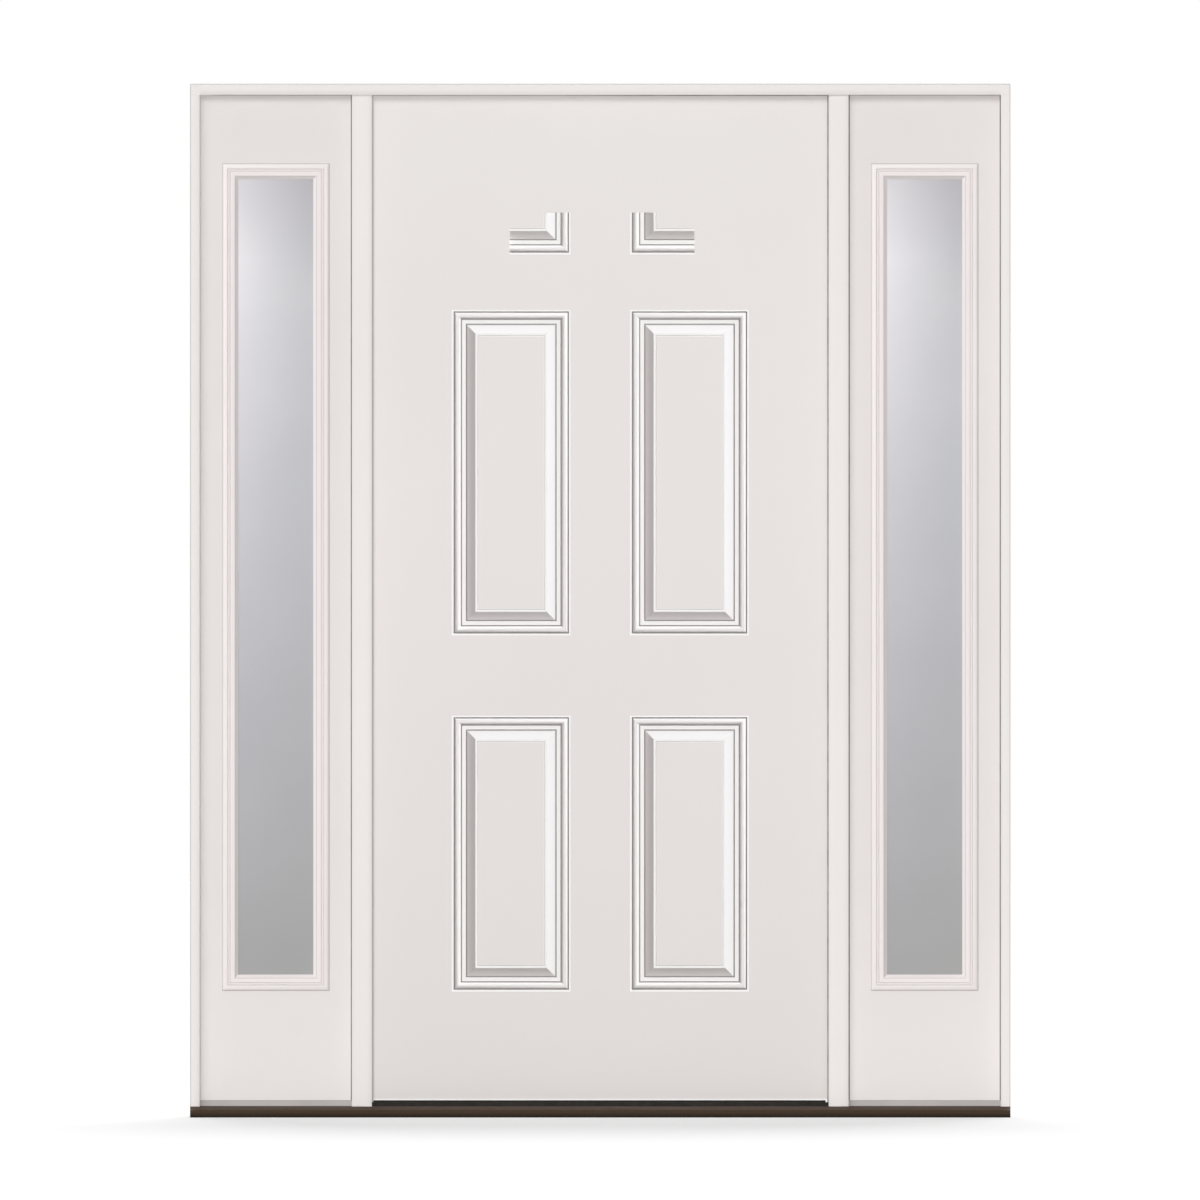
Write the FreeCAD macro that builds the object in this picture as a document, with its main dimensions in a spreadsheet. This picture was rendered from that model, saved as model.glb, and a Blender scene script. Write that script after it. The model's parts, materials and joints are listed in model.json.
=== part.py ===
import FreeCAD, Part
import math
import os
import re
import Sketcher
from FreeCAD import Vector

# Entry door with two sidelights, in millimetres.
# X runs to the right as seen from outside, Y runs into the house, Z runs up.
# The origin is the middle of the sill's underside.

# Driving sizes
SIZES = {
    # frame
    "door_opening": 916,
    "sidelight_opening": 305,
    "opening_height": 2029.5,
    "jamb_face": 19.5,
    "head_face": 20,
    "mullion_face": 40,
    "mullion_setback": 10,
    "frame_depth": 83,
    "ease_run": 10,
    "ease_drop": 1.6,
    "ease_radius": 33,
    "door_rabbet": 8,
    "sidelight_rabbet": 6,
    # sill
    "sill_height": 21,
    "sill_projection": 30,
    "sill_nose_height": 15,
    "sill_nose_radius": 5,
    "sill_ledge": 3,
    "sill_cover": 2.5,
    "bumper_height": 8,
    "bumper_depth": 8,
    "bumper_radius": 3,
    "filler_setback": 3,
    # door leaf
    "leaf_thickness": 44.5,
    "leaf_lift": 11.5,
    "hinge_gap": 5,
    "latch_gap": 5.5,
    "head_gap": 5,
    "latch_bevel": 2.5,
    "skin": 1.5,
    "leaf_stile": 38,
    "top_rail": 40,
    "bottom_rail": 60,
    "core_clearance": 0.3,
    "sweep_clearance": 5,
    "sweep_inset": 6,
    "sweep_carrier": 2,
    "sweep_fin": 3,
    # weatherstrip
    "seal_gap": 5,
    "seal_thickness": 5,
    "seal_width": 8,
    "seal_reveal": 3,
    "seal_radius": 2,
    # raised panels
    "panel_width": 232,
    "panel_stile": 125.4,
    "lower_panel_lift": 221,
    "lower_panel_height": 547.5,
    "row_gap": 167,
    "upper_panel_height": 647,
    "corner_gap": 117,
    "corner_height": 81.5,
    "left_corner_length": 119.3,
    "right_corner_length": 126.3,
    # panel moulding, run inward from its outer edge and depth below the face
    "quirk_run": 1.8,
    "quirk_depth": 4.6,
    "bead_run": 13.7,
    "bead_toe": 4,
    "bead_radius": 7.4,
    "groove_run": 0.8,
    "groove_depth": 5.6,
    "fillet_rise_run": 1.1,
    "fillet_run": 7.2,
    "fillet_depth": 4.6,
    "bevel_toe_run": 1.2,
    "bevel_depth": 9.2,
    "bevel_run": 18.4,
    "bevel_radius": 110,
    "crest_run": 3.2,
    "crest_depth": 0.3,
    "line_run": 0.8,
    "line_depth": 1,
    # sidelight glazing
    "panel_joint": 1,
    "lite_width": 215.5,
    "lite_height": 1660.5,
    "lite_lift": 219.5,
    "lite_edge": 4,
    "lite_bead_run": 11,
    "lite_bead_height": 7,
    "lite_bead_radius": 16,
    "lite_step_run": 0.8,
    "lite_cove_run": 4.7,
    "lite_cove_height": 5,
    "lite_flat_run": 8.1,
    "lite_flat_height": 6.2,
    "lite_slope_run": 7.1,
    "lite_slope_drop": 7,
    "lite_foot": 4.5,
    "lite_web": 10.5,
    "glass_bite": 13.75,
    "pane": 4,
    "glazing_thickness": 25.4,
    "cutout_clearance": 3,
    "spacer_inset": 4,
    "spacer_width": 8,
    # hinges
    "hinge_height": 101.6,
    "hinge_leaf_depth": 38,
    "hinge_leaf_thickness": 2.5,
    "hinge_corner": 8,
    "barrel_offset": 8,
    "barrel_radius": 6.5,
    "knuckle_gap": 0.4,
    "pin_radius": 3.2,
    "pin_clearance": 0.08,
    "pin_head_radius": 5.5,
    "pin_head_height": 3,
    "pin_tip": 2,
    "top_hinge_drop": 178,
    "bottom_hinge_lift": 254,
}

# Places that follow from the sizes
PLACES = {
    "half_door": "door_opening / 2",
    "mullion_outer": "half_door + mullion_face",
    "sidelight_outer": "mullion_outer + sidelight_opening",
    "sidelight_middle": "mullion_outer + sidelight_opening / 2",
    "half_frame": "sidelight_outer + jamb_face",
    "frame_front": "-frame_depth / 2",
    "frame_back": "frame_depth / 2",
    "mullion_front": "frame_front + mullion_setback",
    "head_bottom": "sill_height + opening_height",
    "nose_front": "frame_front - sill_projection",
    "ledge_front": "frame_front - sill_ledge",
    "cover_bottom": "sill_height - sill_cover",
    "leaf_face": "frame_back - leaf_thickness",
    "leaf_bottom": "sill_height + leaf_lift",
    "leaf_height": "opening_height - leaf_lift + door_rabbet - head_gap",
    "leaf_left": "-half_door - door_rabbet + hinge_gap",
    "leaf_right": "half_door + door_rabbet - latch_gap",
    "door_shoulder": "leaf_face - seal_gap - seal_thickness",
    "bumper_back": "leaf_face - seal_gap",
    "seal_line": "half_door + seal_width / 2 - seal_reveal",
    "seal_top": "opening_height + seal_width / 2 - seal_reveal",
    "panel_inner": "panel_stile / 2",
    "panel_outer": "panel_inner + panel_width",
    "lower_panel_top": "lower_panel_lift + lower_panel_height",
    "upper_panel_bottom": "lower_panel_top + row_gap",
    "upper_panel_top": "upper_panel_bottom + upper_panel_height",
    "corner_bottom": "upper_panel_top + corner_gap",
    "bead_start": "quirk_run",
    "bead_end": "bead_start + bead_run",
    "groove_at": "bead_end + groove_run",
    "fillet_start": "groove_at + fillet_rise_run",
    "fillet_end": "fillet_start + fillet_run",
    "bevel_start": "fillet_end + bevel_toe_run",
    "bevel_end": "bevel_start + bevel_run",
    "crest_end": "bevel_end + crest_run",
    "line_at": "crest_end + line_run",
    "moulding_width": "line_at + line_run",
    "backing_depth": "bevel_depth + skin",
    "sidelight_panel_width": "sidelight_opening + 2 * (sidelight_rabbet - panel_joint)",
    "sidelight_panel_height": "opening_height - leaf_lift + sidelight_rabbet - panel_joint",
    "lite_step": "lite_bead_run + lite_step_run",
    "lite_cove": "lite_step + lite_cove_run",
    "lite_flat": "lite_cove + lite_step_run",
    "lite_slope": "lite_flat + lite_flat_run",
    "lite_face": "lite_slope + lite_slope_run",
    "glass_depth": "(leaf_thickness - glazing_thickness) / 2",
    "glass_width": "lite_width - 2 * lite_face + 2 * glass_bite",
    "glass_height": "lite_height - 2 * lite_face + 2 * glass_bite",
    "glass_lift": "lite_lift + lite_face - glass_bite",
    "cutout_width": "glass_width + 2 * cutout_clearance",
    "cutout_height": "glass_height + 2 * cutout_clearance",
    "cutout_lift": "glass_lift - cutout_clearance",
    "hinge_axis_across": "-half_door - door_rabbet + hinge_gap / 2",
    "hinge_axis_depth": "frame_back + barrel_offset",
    "knuckle": "(hinge_height - 4 * knuckle_gap) / 5",
    "knuckle_step": "knuckle + knuckle_gap",
    "pin_hole": "pin_radius + pin_clearance",
    "low_hinge": "leaf_bottom + bottom_hinge_lift - hinge_height / 2",
    "high_hinge": "leaf_bottom + leaf_height - top_hinge_drop - hinge_height / 2",
    "middle_hinge": "(low_hinge + high_hinge) / 2",
}

HINGES = {
    "bottom_hinge": "low_hinge",
    "middle_hinge": "middle_hinge",
    "top_hinge": "high_hinge",
}
SIDES = {"left": -1, "right": 1}
OUTSIDE = -1
INSIDE = 1

doc = FreeCAD.newDocument("entry_door")
sheet = doc.addObject("Spreadsheet::Sheet", "Sizes")
for row, (alias, value) in enumerate(SIZES.items(), start=1):
    sheet.set(f"A{row}", alias)
    sheet.set(f"B{row}", str(value))
    sheet.setAlias(f"B{row}", alias)
doc.recompute()


def bind(formula):
    """Write a formula in size names as an expression on the sheet."""
    def spelled_out(match):
        name = match.group()
        if name in PLACES:
            return f"({bind(PLACES[name])})"
        return f"Sizes.{name}"
    return re.sub(r"[a-z_]+", spelled_out, str(formula))


def number(formula):
    """Give the present value of a formula."""
    return float(sheet.evalExpression(bind(formula)))


def new_body(label, x="0", y="0", z="0"):
    """Start a sub-part at its place in the assembly."""
    body = doc.addObject("PartDesign::Body", label)
    body.Label = label
    for axis, formula in zip("xyz", (x, y, z)):
        body.setExpression(f"Placement.Base.{axis}", bind(formula))
    return body


def add_arc(sketch, start, end, radius, turn):
    """Draw the short arc between two points, turning left (1) or right (-1)."""
    chord = end - start
    reach = math.sqrt(max(radius ** 2 - (chord.Length / 2) ** 2, 0))
    normal = Vector(-chord.y, chord.x, 0).normalize()
    centre = (start + end) / 2 + normal * reach * turn
    first, last = (start, end) if turn > 0 else (end, start)
    angles = [math.atan2(p.y - centre.y, p.x - centre.x) for p in (first, last)]
    circle = Part.Circle(centre, Vector(0, 0, 1), radius)
    return sketch.addGeometry(Part.ArcOfCircle(circle, *angles), False)


def draw(sketch, outline, closed=True):
    """Draw one outline; a point may carry a radius and a turn for the arc that leaves it."""
    points = [Vector(number(point[0]), number(point[1]), 0) for point in outline]
    pieces = []
    for index in range(len(outline) if closed else len(outline) - 1):
        start, end = points[index], points[(index + 1) % len(points)]
        if len(outline[index]) == 2:
            piece = sketch.addGeometry(Part.LineSegment(start, end), False)
            pieces.append((piece, 1, 2))
            continue
        radius, turn = outline[index][2:]
        piece = add_arc(sketch, start, end, number(radius), turn)
        pieces.append((piece, 1, 2) if turn > 0 else (piece, 2, 1))
        rule = sketch.addConstraint(Sketcher.Constraint("Radius", piece, number(radius)))
        sketch.setExpression(f"Constraints[{rule}]", bind(radius))
    ends = [(piece, first) for piece, first, last in pieces]
    for index, (piece, first, last) in enumerate(pieces):
        if closed or index + 1 < len(pieces):
            after, after_first, after_last = pieces[(index + 1) % len(pieces)]
            sketch.addConstraint(
                Sketcher.Constraint("Coincident", piece, last, after, after_first))
        else:
            ends.append((piece, last))
    for (piece, end), corner in zip(ends, outline):
        for kind, formula in zip(("DistanceX", "DistanceY"), corner):
            rule = sketch.addConstraint(
                Sketcher.Constraint(kind, -1, 1, piece, end, number(formula)))
            sketch.setExpression(f"Constraints[{rule}]", bind(formula))


def new_sketch(body, name, plane, outlines, offset="0", closed=True):
    """Put outlines on one of the body's own planes, moved along its normal."""
    sketch = body.newObject("Sketcher::SketchObject", f"{body.Name}_{name}")
    support = next(item for item in body.Origin.OriginFeatures if item.Role == f"{plane}_Plane")
    sketch.AttachmentSupport = [(support, "")]
    sketch.MapMode = "FlatFace"
    sketch.setExpression("AttachmentOffset.Base.z", bind(offset))
    for outline in outlines:
        draw(sketch, outline, closed)
    return sketch


def extrude(body, kind, sketch, length, reverse=False):
    """Pad or pocket a sketch by a bound length."""
    feature = body.newObject(f"PartDesign::{kind}", f"{sketch.Name}_{kind}")
    feature.Profile = sketch
    feature.Reversed = reverse
    feature.setExpression("Length", bind(length))
    return feature


def sweep(body, kind, section, spine):
    """Run a section along a spine with mitred corners."""
    feature = body.newObject(f"PartDesign::{kind}", f"{section.Name}_{kind}")
    feature.Profile = section
    feature.Spine = (spine, [f"Edge{edge + 1}" for edge in range(spine.GeometryCount)])
    feature.Transition = "Right corner"
    return feature


def rectangle(left, right, bottom, top):
    """Give the four corners of a rectangle."""
    return [(left, bottom), (right, bottom), (right, top), (left, top)]


def prism(label, plane, outlines, offset, length, x="0", y="0", z="0"):
    """Make a sub-part that is one outline carried straight along."""
    body = new_body(label, x, y, z)
    outline = new_sketch(body, "outline", plane, outlines, offset)
    extrude(body, "Pad", outline, length)
    return body


def hinge_plate(edge, bottom):
    """Give a hinge leaf's outline, straight at the barrel edge and round at the far corners."""
    far = f"{edge} - hinge_leaf_depth"
    top = f"{bottom} + hinge_height"
    return [
        (edge, bottom),
        (edge, top),
        (f"{far} + hinge_corner", top, "hinge_corner", 1),
        (far, f"{top} - hinge_corner"),
        (far, f"{bottom} + hinge_corner", "hinge_corner", 1),
        (f"{far} + hinge_corner", bottom),
    ]


# Frame
def make_jamb(name, side):
    inner = f"{-side} * jamb_face"
    web = f"{-side} * (jamb_face - sidelight_rabbet)"
    eased = f"{-side} * (jamb_face - ease_run)"
    outline = [
        (0, "frame_front"),
        (eased, "frame_front", "ease_radius", -side),
        (inner, "frame_front + ease_drop"),
        (inner, "leaf_face"),
        (web, "leaf_face"),
        (web, "frame_back"),
        (0, "frame_back"),
    ]
    prism(f"{name}_jamb", "XY", [outline], 0, "opening_height",
          x=f"{side} * half_frame", z="sill_height")


def make_mullion(name, side):
    outline = [
        (f"{side} * ease_run", "mullion_front"),
        (f"{side} * (mullion_face - ease_run)", "mullion_front", "ease_radius", side),
        (f"{side} * mullion_face", "mullion_front + ease_drop"),
        (f"{side} * mullion_face", "leaf_face"),
        (f"{side} * (mullion_face - sidelight_rabbet)", "leaf_face"),
        (f"{side} * (mullion_face - sidelight_rabbet)", "frame_back"),
        (f"{side} * door_rabbet", "frame_back"),
        (f"{side} * door_rabbet", "door_shoulder"),
        (0, "door_shoulder"),
        (0, "mullion_front + ease_drop", "ease_radius", side),
    ]
    body = prism(f"{name}_mullion", "XY", [outline], 0, "opening_height",
                 x=f"{side} * half_door", z="sill_height")
    if name == "left":
        seats = [hinge_plate("frame_back", f"{start} - sill_height") for start in HINGES.values()]
        cut = new_sketch(body, "hinge_seats", "YZ", seats, "-door_rabbet")
        extrude(body, "Pocket", cut, "hinge_leaf_thickness")


def make_head():
    outline = rectangle("frame_front", "frame_back", 0, "head_face")
    body = prism("head_jamb", "YZ", [outline], "-half_frame", "2 * half_frame", z="head_bottom")
    waste = [
        ("frame_front", 0),
        ("frame_front + ease_drop", 0, "ease_radius", -1),
        ("frame_front", "ease_run"),
    ]
    ease_sketch = new_sketch(body, "eased_edge", "YZ", [waste], "-sidelight_outer")
    extrude(body, "Pocket", ease_sketch, "2 * sidelight_outer", reverse=True)
    reach = "half_door + door_rabbet"
    door_cut = rectangle(f"-({reach})", reach, "door_shoulder", "frame_back")
    door_sketch = new_sketch(body, "door_rabbet", "XY", [door_cut])
    extrude(body, "Pocket", door_sketch, "door_rabbet", reverse=True)
    near = "mullion_outer - sidelight_rabbet"
    far = "sidelight_outer + sidelight_rabbet"
    cuts = [
        rectangle(f"-({far})", f"-({near})", "leaf_face", "frame_back"),
        rectangle(near, far, "leaf_face", "frame_back"),
    ]
    side_sketch = new_sketch(body, "sidelight_rabbets", "XY", cuts)
    extrude(body, "Pocket", side_sketch, "sidelight_rabbet", reverse=True)


def make_sill():
    inner = [
        ("nose_front + sill_cover", 0),
        ("nose_front + sill_cover", "sill_nose_height - sill_cover"),
        ("ledge_front", "cover_bottom"),
        ("frame_back", "cover_bottom"),
    ]
    outer = [
        ("frame_back", "sill_height"),
        ("ledge_front", "sill_height"),
        ("nose_front + sill_nose_radius", "sill_nose_height", "sill_nose_radius", 1),
        ("nose_front", "sill_nose_height - sill_nose_radius"),
        ("nose_front", 0),
    ]
    prism("sill_cover", "YZ", [inner + outer], "-half_frame", "2 * half_frame")
    prism("sill_base", "YZ", [inner + [("frame_back", 0)]], "-half_frame", "2 * half_frame")


def make_bumper():
    front = "bumper_back - bumper_depth"
    outline = [
        (front, 0),
        ("bumper_back", 0),
        ("bumper_back", "bumper_height"),
        (f"{front} + bumper_radius", "bumper_height", "bumper_radius", 1),
        (front, "bumper_height - bumper_radius"),
    ]
    prism("threshold_bumper", "YZ", [outline], "-half_door", "door_opening", z="sill_height")


def make_filler(name, side):
    half = "sidelight_opening / 2 + sidelight_rabbet"
    outline = rectangle(f"-({half})", half, "leaf_face + filler_setback", "frame_back")
    prism(f"{name}_sidelight_filler", "XY", [outline], 0, "leaf_lift",
          x=f"{side} * sidelight_middle", z="sill_height")


def make_weatherstrip():
    body = new_body("door_weatherstrip", y="door_shoulder", z="sill_height")
    path = [
        ("-seal_line", "bumper_height"),
        ("-seal_line", "seal_top"),
        ("seal_line", "seal_top"),
        ("seal_line", "bumper_height"),
    ]
    spine = new_sketch(body, "path", "XZ", [path], closed=False)
    low = "-seal_line - seal_width / 2"
    high = "-seal_line + seal_width / 2"
    bulb = [
        (low, 0),
        (high, 0),
        (high, "seal_thickness - seal_radius", "seal_radius", 1),
        (f"{high} - seal_radius", "seal_thickness"),
        (f"{low} + seal_radius", "seal_thickness", "seal_radius", 1),
        (low, "seal_thickness - seal_radius"),
    ]
    section = new_sketch(body, "bulb", "XY", [bulb], "bumper_height")
    sweep(body, "AdditivePipe", section, spine)


# Door leaf
def moulding_void(bottom, facing):
    """Give the hollow that leaves the panel moulding, above the moulding's lower edge."""
    def place(run, depth):
        return (f"{-facing} * ({depth})", f"{bottom} + {run}")
    return [
        place("0", "-quirk_run"),
        place("0", "0"),
        place("bead_start", "quirk_depth") + ("bead_radius", facing),
        place("bead_end", "bead_toe"),
        place("groove_at", "groove_depth"),
        place("fillet_start", "fillet_depth"),
        place("fillet_end", "fillet_depth"),
        place("bevel_start", "bevel_depth") + ("bevel_radius", -facing),
        place("bevel_end", "crest_depth"),
        place("crest_end", "crest_depth"),
        place("line_at", "line_depth"),
        place("moulding_width", "0"),
        place("moulding_width", "-quirk_run"),
    ]


def moulding_backing(bottom, facing, clearance):
    """Give the sheet behind the moulding, or with a clearance the room for it."""
    def place(run, depth):
        return (f"{-facing} * ({depth})", f"{bottom} + {run}")
    return [
        place(f"-skin - {clearance}", "skin / 2"),
        place(f"-{clearance}", f"backing_depth + {clearance}"),
        place("bevel_start + skin", f"backing_depth + {clearance}"),
        place(f"bevel_end + skin + {clearance}", "skin / 2"),
    ]


def moulding_paths():
    """Give each moulding's name, lower edge, mid-place across, path and closure."""
    rows = {
        "lower": ("lower_panel_lift", "lower_panel_top"),
        "upper": ("upper_panel_bottom", "upper_panel_top"),
    }
    for name, side in SIDES.items():
        near, far = f"{side} * panel_inner", f"{side} * panel_outer"
        for row, (bottom, top) in rows.items():
            path = rectangle(near, far, bottom, top)
            yield f"{row}_{name}", bottom, f"({near} + {far}) / 2", path, True
        end = f"{side} * (panel_inner + {name}_corner_length)"
        path = [(end, "corner_bottom"), (near, "corner_bottom"),
                (near, "corner_bottom + corner_height")]
        yield f"corner_{name}", "corner_bottom", f"({near} + {end}) / 2", path, False


def emboss(body, facing):
    """Press the panel mouldings into a skin."""
    for name, bottom, middle, path, closed in moulding_paths():
        spine = new_sketch(body, f"{name}_path", "XZ", [path], closed=closed)
        backing = moulding_backing(bottom, facing, "0")
        sheet_section = new_sketch(body, f"{name}_backing", "YZ", [backing], middle)
        sweep(body, "AdditivePipe", sheet_section, spine)
        void = moulding_void(bottom, facing)
        void_section = new_sketch(body, f"{name}_void", "YZ", [void], middle)
        sweep(body, "SubtractivePipe", void_section, spine)


def make_leaf_skins():
    outer = rectangle("leaf_left", "leaf_right - latch_bevel", 0, "leaf_height")
    outer_skin = prism("door_outer_skin", "XZ", [outer], "-skin", "skin",
                       y="leaf_face", z="leaf_bottom")
    emboss(outer_skin, OUTSIDE)
    inner = rectangle("leaf_left", "leaf_right", 0, "leaf_height")
    inner_skin = prism("door_inner_skin", "XZ", [inner], 0, "skin",
                       y="frame_back", z="leaf_bottom")
    emboss(inner_skin, INSIDE)
    seats = [
        rectangle("leaf_left", "leaf_left + hinge_leaf_thickness",
                  f"{start} - leaf_bottom", f"{start} - leaf_bottom + hinge_height")
        for start in HINGES.values()
    ]
    cut = new_sketch(inner_skin, "hinge_seats", "XZ", seats)
    extrude(inner_skin, "Pocket", cut, "skin", reverse=True)


def make_leaf_frame():
    front, back = "leaf_face + skin", "frame_back - skin"
    inner_left = "leaf_left + leaf_stile"
    inner_right = "leaf_right - leaf_stile"
    hinge_stile = prism("door_hinge_stile", "XY", [rectangle("leaf_left", inner_left, front, back)],
                        0, "leaf_height", z="leaf_bottom")
    seats = [hinge_plate("frame_back", f"{start} - leaf_bottom") for start in HINGES.values()]
    cut = new_sketch(hinge_stile, "hinge_seats", "YZ", seats, "leaf_left")
    extrude(hinge_stile, "Pocket", cut, "hinge_leaf_thickness", reverse=True)
    latch_edge = [(inner_right, front), ("leaf_right - latch_bevel", front),
                  ("leaf_right", back), (inner_right, back)]
    prism("door_latch_stile", "XY", [latch_edge], 0, "leaf_height", z="leaf_bottom")
    rail = rectangle(inner_left, inner_right, front, back)
    prism("door_bottom_rail", "XY", [rail], 0, "bottom_rail", z="leaf_bottom")
    prism("door_top_rail", "XY", [rail], "leaf_height - top_rail", "top_rail", z="leaf_bottom")
    core = prism("door_foam_core", "XY", [rail], "bottom_rail",
                 "leaf_height - top_rail - bottom_rail", z="leaf_bottom")
    for facing, face in ((OUTSIDE, "leaf_face"), (INSIDE, "frame_back")):
        for name, bottom, middle, path, closed in moulding_paths():
            label = f"{name}_{'outside' if facing == OUTSIDE else 'inside'}"
            spine = new_sketch(core, f"{label}_path", "XZ", [path], f"-({face})", closed)
            room = [(f"{face} + {depth}", height) for depth, height
                    in moulding_backing(bottom, facing, "core_clearance")]
            section = new_sketch(core, f"{label}_room", "YZ", [room], middle)
            sweep(core, "SubtractivePipe", section, spine)


def make_sweep():
    front, back = "leaf_face + sweep_inset", "frame_back - sweep_inset"
    drop = "-(leaf_lift - sweep_clearance)"
    middle = "(leaf_face + frame_back) / 2"
    outline = [
        (front, 0),
        (front, drop),
        (f"{front} + sweep_fin", drop),
        (f"{front} + sweep_fin", "-sweep_carrier"),
        (f"{middle} - sweep_fin / 2", "-sweep_carrier"),
        (f"{middle} - sweep_fin / 2", drop),
        (f"{middle} + sweep_fin / 2", drop),
        (f"{middle} + sweep_fin / 2", "-sweep_carrier"),
        (f"{back} - sweep_fin", "-sweep_carrier"),
        (f"{back} - sweep_fin", drop),
        (back, drop),
        (back, 0),
    ]
    prism("door_sweep", "YZ", [outline], "leaf_left + sweep_inset",
          "leaf_right - latch_bevel - leaf_left - 2 * sweep_inset", z="leaf_bottom")


# Hinges
def make_hinge_leaf(label, side, start, knuckles):
    """Make a hinge leaf round the barrel axis, let in at one side, with its own knuckles."""
    body = new_body(label, "hinge_axis_across", "hinge_axis_depth", start)
    near, far = f"{side} * hinge_gap / 2", f"{side} * (hinge_gap / 2 + hinge_leaf_thickness)"
    plate = hinge_plate("-barrel_offset", "0")
    plate_sketch = new_sketch(body, "plate", "YZ", [plate], far if side < 0 else near)
    extrude(body, "Pad", plate_sketch, "hinge_leaf_thickness")
    for index in knuckles:
        level = f"{index} * knuckle_step"
        tab = rectangle(near, far, "-barrel_offset - hinge_leaf_thickness", 0)
        tab_sketch = new_sketch(body, f"tab_{index}", "XY", [tab], level)
        extrude(body, "Pad", tab_sketch, "knuckle")
        barrel = add_circle_sketch(body, f"barrel_{index}", "barrel_radius", level)
        extrude(body, "Pad", barrel, "knuckle")
    hole = add_circle_sketch(body, "pin_hole", "pin_hole", "0")
    extrude(body, "Pocket", hole, "hinge_height", reverse=True)


def add_circle_sketch(body, name, radius, level):
    """Draw a circle round the body's own upright axis."""
    sketch = new_sketch(body, name, "XY", [], level)
    circle = sketch.addGeometry(Part.Circle(Vector(), Vector(0, 0, 1), number(radius)), False)
    sketch.addConstraint(Sketcher.Constraint("Coincident", circle, 3, -1, 1))
    rule = sketch.addConstraint(Sketcher.Constraint("Radius", circle, number(radius)))
    sketch.setExpression(f"Constraints[{rule}]", bind(radius))
    return sketch


def make_pin(label, start):
    body = new_body(label, "hinge_axis_across", "hinge_axis_depth", start)
    shank = add_circle_sketch(body, "shank", "pin_radius", "-pin_tip")
    extrude(body, "Pad", shank, "pin_tip + hinge_height")
    head = add_circle_sketch(body, "head", "pin_head_radius", "hinge_height")
    extrude(body, "Pad", head, "pin_head_height")


# Sidelights
def make_sidelight_panel(name, side):
    across = f"{side} * sidelight_middle"
    half = "sidelight_panel_width / 2"
    cut_half = "cutout_width / 2"
    outlines = [
        rectangle(f"-{half}", half, 0, "sidelight_panel_height"),
        rectangle(f"-{cut_half}", cut_half, "cutout_lift", "cutout_lift + cutout_height"),
    ]
    place = {"x": across, "z": "leaf_bottom"}
    prism(f"{name}_sidelight_outer_skin", "XZ", outlines, "-skin", "skin", y="leaf_face", **place)
    prism(f"{name}_sidelight_frame", "XZ", outlines, "-(leaf_thickness - skin)",
          "leaf_thickness - 2 * skin", y="leaf_face", **place)
    prism(f"{name}_sidelight_inner_skin", "XZ", outlines, 0, "skin", y="frame_back", **place)


def make_lite_frame(label, across, facing, face):
    body = new_body(label, across, face, "leaf_bottom + lite_lift")
    path = rectangle("-lite_width / 2", "lite_width / 2", 0, "lite_height")
    spine = new_sketch(body, "path", "XZ", [path])

    def place(run, rise):
        return (f"{facing} * ({rise})", run)
    profile = [
        place("0", "0"),
        place("0", "lite_edge") + ("lite_bead_radius", facing),
        place("lite_bead_run", "lite_bead_height"),
        place("lite_step", "lite_cove_height"),
        place("lite_cove", "lite_cove_height"),
        place("lite_flat", "lite_flat_height"),
        place("lite_slope", "lite_flat_height"),
        place("lite_face", "lite_flat_height - lite_slope_drop"),
        place("lite_face", "-glass_depth"),
        place("lite_face - lite_foot", "-glass_depth"),
        place("lite_face - lite_web", "0"),
    ]
    section = new_sketch(body, "section", "YZ", [profile])
    sweep(body, "AdditivePipe", section, spine)


def make_glazing(name, side):
    across = f"{side} * sidelight_middle"
    half = "glass_width / 2"
    pane = rectangle(f"-{half}", half, 0, "glass_height")
    place = {"x": across, "z": "leaf_bottom + glass_lift"}
    prism(f"{name}_outer_pane", "XZ", [pane], "-pane", "pane",
          y="leaf_face + glass_depth", **place)
    prism(f"{name}_inner_pane", "XZ", [pane], 0, "pane", y="frame_back - glass_depth", **place)
    edge, bore = "spacer_inset", "spacer_inset + spacer_width"
    ring = [
        rectangle(f"-({half} - {inset})", f"{half} - {inset}", inset, f"glass_height - ({inset})")
        for inset in (edge, f"({bore})")
    ]
    prism(f"{name}_glazing_spacer", "XZ", ring, "-(glazing_thickness - pane)",
          "glazing_thickness - 2 * pane", y="leaf_face + glass_depth", **place)


make_head()
make_sill()
make_bumper()
make_weatherstrip()
make_leaf_skins()
make_leaf_frame()
make_sweep()
for name, start in HINGES.items():
    make_hinge_leaf(f"{name}_jamb_leaf", -1, start, (0, 2, 4))
    make_hinge_leaf(f"{name}_door_leaf", 1, start, (1, 3))
    make_pin(f"{name}_pin", start)
for name, side in SIDES.items():
    make_jamb(name, side)
    make_mullion(name, side)
    make_filler(name, side)
    make_sidelight_panel(name, side)
    make_lite_frame(f"{name}_outer_lite_frame", f"{side} * sidelight_middle", OUTSIDE, "leaf_face")
    make_lite_frame(f"{name}_inner_lite_frame", f"{side} * sidelight_middle", INSIDE, "frame_back")
    make_glazing(name, side)

doc.recompute()
for item in doc.Objects:
    if "Invalid" in item.State or "Error" in item.State:
        raise RuntimeError(f"{item.Label} did not build: {item.State}")

os.makedirs("parts", exist_ok=True)
for body in doc.findObjects("PartDesign::Body"):
    if body.Shape.isNull() or not body.Shape.isValid():
        raise RuntimeError(f"{body.Label} has no valid solid")
    body.Shape.exportStep(f"parts/{body.Label}.step")
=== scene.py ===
import json
import math

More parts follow.
